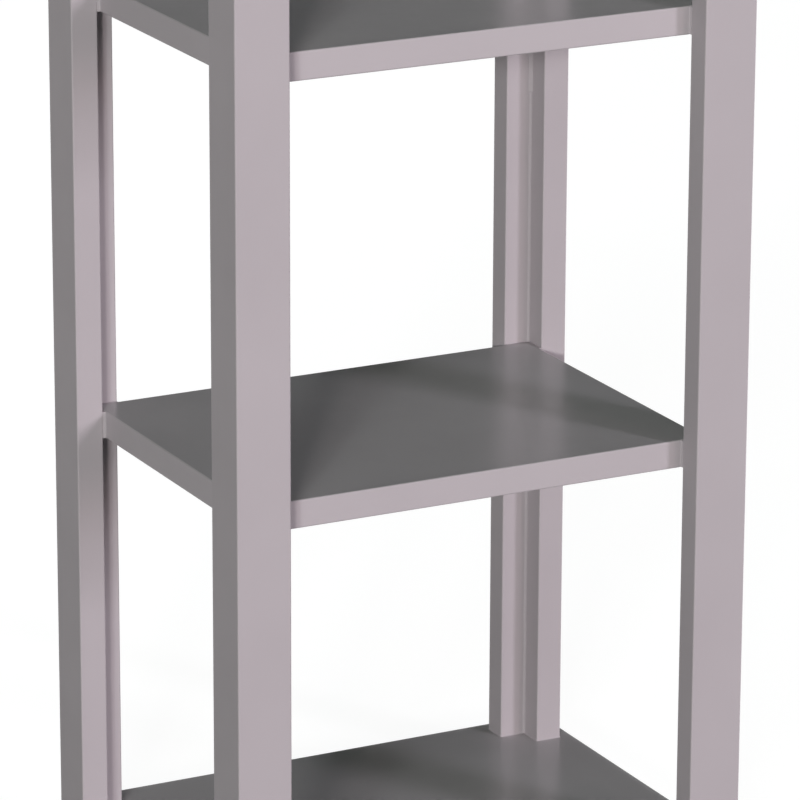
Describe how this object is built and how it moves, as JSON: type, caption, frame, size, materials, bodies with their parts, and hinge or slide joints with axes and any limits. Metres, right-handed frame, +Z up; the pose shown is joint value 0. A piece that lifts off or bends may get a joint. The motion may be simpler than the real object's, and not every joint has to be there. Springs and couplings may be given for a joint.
{
  "type": "open shelf cabinet",
  "caption": "Open free-standing shelf unit: L-section corner posts carry plain shelves between a base board and a top board, all in satin taupe lacquer.",
  "frame": {"origin": "middle of the footprint, on the floor that the glides stand on", "axes": "+X to the right seen from the front, +Y to the back, +Z up"},
  "size_m": [0.516, 0.402, 1.577],
  "materials": {
    "lacquered_board": "satin taupe lacquer",
    "lacquered_lath": "satin taupe lacquer",
    "filler": "lacquered filler",
    "glide_plastic": "matte",
    "beech": "raw",
    "zinc_steel": "zinc plated"
  },
  "bodies": {
    "root": {"base_board": "lacquered_board", "top_board": "lacquered_board", "lower_shelf": "lacquered_board", "middle_shelf": "lacquered_board", "upper_shelf": "lacquered_board", "front_left_face_lath": "lacquered_lath", "front_left_return_lath": "lacquered_lath", "front_right_face_lath": "lacquered_lath", "front_right_return_lath": "lacquered_lath", "back_left_face_lath": "lacquered_lath", "back_left_return_lath": "lacquered_lath", "back_right_face_lath": "lacquered_lath", "back_right_return_lath": "lacquered_lath", "front_left_corner_bead": "filler", "front_right_corner_bead": "filler", "back_left_corner_bead": "filler", "back_right_corner_bead": "filler", "front_left_glide": "glide_plastic", "front_right_glide": "glide_plastic", "back_left_glide": "glide_plastic", "back_right_glide": "glide_plastic", "lower_shelf_dowels": "beech", "middle_shelf_dowels": "beech", "upper_shelf_dowels": "beech", "base_dowels": "beech", "top_dowels": "beech", "base_screws": "zinc_steel", "glide_screws": "zinc_steel"}
  },
  "joints": []
}
